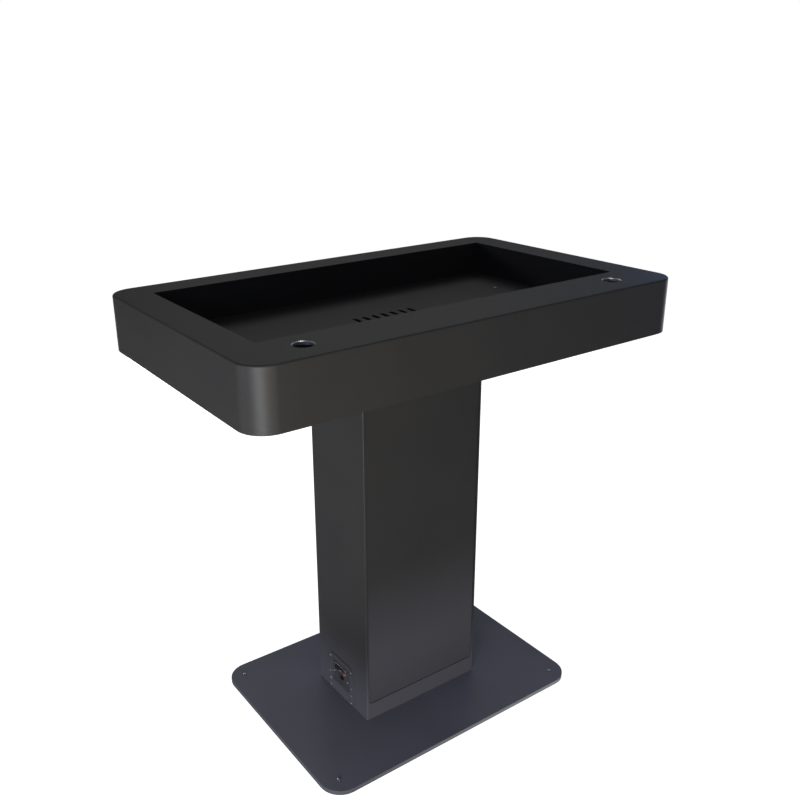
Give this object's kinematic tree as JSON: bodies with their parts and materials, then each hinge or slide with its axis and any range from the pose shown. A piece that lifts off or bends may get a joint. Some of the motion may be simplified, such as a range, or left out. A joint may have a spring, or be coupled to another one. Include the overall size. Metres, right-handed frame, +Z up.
{
  "type": "dj podium stand",
  "caption": "Standing podium for DJ equipment: deep rounded head with a sunk equipment well and two round sockets, on a rectangular sheet-metal column and a heavy base plate with a mains inlet.",
  "frame": {"origin": "on the floor, at the centre of the base plate and of the head", "axes": "+X to the right for somebody in the audience, -Y towards the audience, +Y towards the performer, +Z up"},
  "size_m": [1.03, 0.636, 1],
  "materials": {
    "black_coat": "fine-textured satin powder coat",
    "base_coat": "smooth semi-gloss powder coat",
    "bright_metal": "bright turned metal",
    "zinc": "zinc-plated",
    "rubber": "matt black",
    "black_plastic": "moulded, half gloss",
    "red_plastic": "translucent red",
    "brass": "plated contact",
    "ferrite": "dull grey"
  },
  "bodies": {
    "root": {"base_plate": "base_coat", "rubber_foot_1": "rubber", "rubber_foot_2": "rubber", "rubber_foot_3": "rubber", "rubber_foot_4": "rubber", "foot_screw_1": "bright_metal", "foot_screw_2": "bright_metal", "foot_screw_3": "bright_metal", "foot_screw_4": "bright_metal", "base_bolt_1": "zinc", "base_bolt_2": "zinc", "base_bolt_3": "zinc", "base_bolt_4": "zinc", "base_nut_1": "zinc", "base_nut_2": "zinc", "base_nut_3": "zinc", "base_nut_4": "zinc", "column_shell": "black_coat", "foot_flange": "black_coat", "head_flange": "black_coat", "panel_rail_left": "black_coat", "panel_rail_right": "black_coat", "panel_magnet_left": "ferrite", "panel_magnet_right": "ferrite", "head_bolt_1": "zinc", "head_bolt_2": "zinc", "head_bolt_3": "zinc", "head_bolt_4": "zinc", "head_shell": "black_coat", "head_pan": "black_coat", "port_trim": "rubber", "head_rail_front": "black_coat", "head_rail_back": "black_coat", "well_liner": "black_coat", "equipment_tray": "black_coat", "slot_trim": "rubber", "tray_screw_1": "bright_metal", "tray_screw_2": "bright_metal", "tray_screw_3": "bright_metal", "tray_screw_4": "bright_metal", "socket_rim_left": "bright_metal", "socket_rim_right": "bright_metal", "socket_tube_left": "black_coat", "socket_tube_right": "black_coat", "inlet_plate": "black_coat", "power_inlet": "black_plastic", "inlet_pin_line": "brass", "inlet_pin_earth": "brass", "inlet_pin_neutral": "brass", "inlet_boot": "rubber", "power_strip": "black_plastic", "strip_screw_1": "zinc", "strip_screw_2": "zinc", "inlet_lead": "rubber", "lead_clip_lower": "black_plastic", "lead_clip_upper": "black_plastic"},
    "access_panel": {"access_panel": "black_coat"},
    "rocker_switch": {"rocker_switch": "red_plastic"},
    "fuse_drawer": {"fuse_drawer": "black_plastic"},
    "strip_switch": {"strip_switch": "red_plastic"}
  },
  "joints": [
    {"name": "panel_tilt", "type": "hinge", "parent": "root", "child": "access_panel", "pos_m": [0, -0.1005, 0.0568], "axis": [1, 0, 0], "range_deg": [0, 18]},
    {"name": "rocker_tilt", "type": "hinge", "parent": "root", "child": "rocker_switch", "pos_m": [-0.1626, 0.002, 0.0945], "axis": [0, 0, 1], "range_deg": [-14, 0]},
    {"name": "fuse_slide", "type": "slide", "parent": "root", "child": "fuse_drawer", "axis": [-1, 0, 0], "range_m": [0, 0.013]},
    {"name": "strip_switch_tilt", "type": "hinge", "parent": "root", "child": "strip_switch", "pos_m": [0, 0.0707, 0.448], "axis": [1, 0, 0], "range_deg": [-16, 0]}
  ]
}
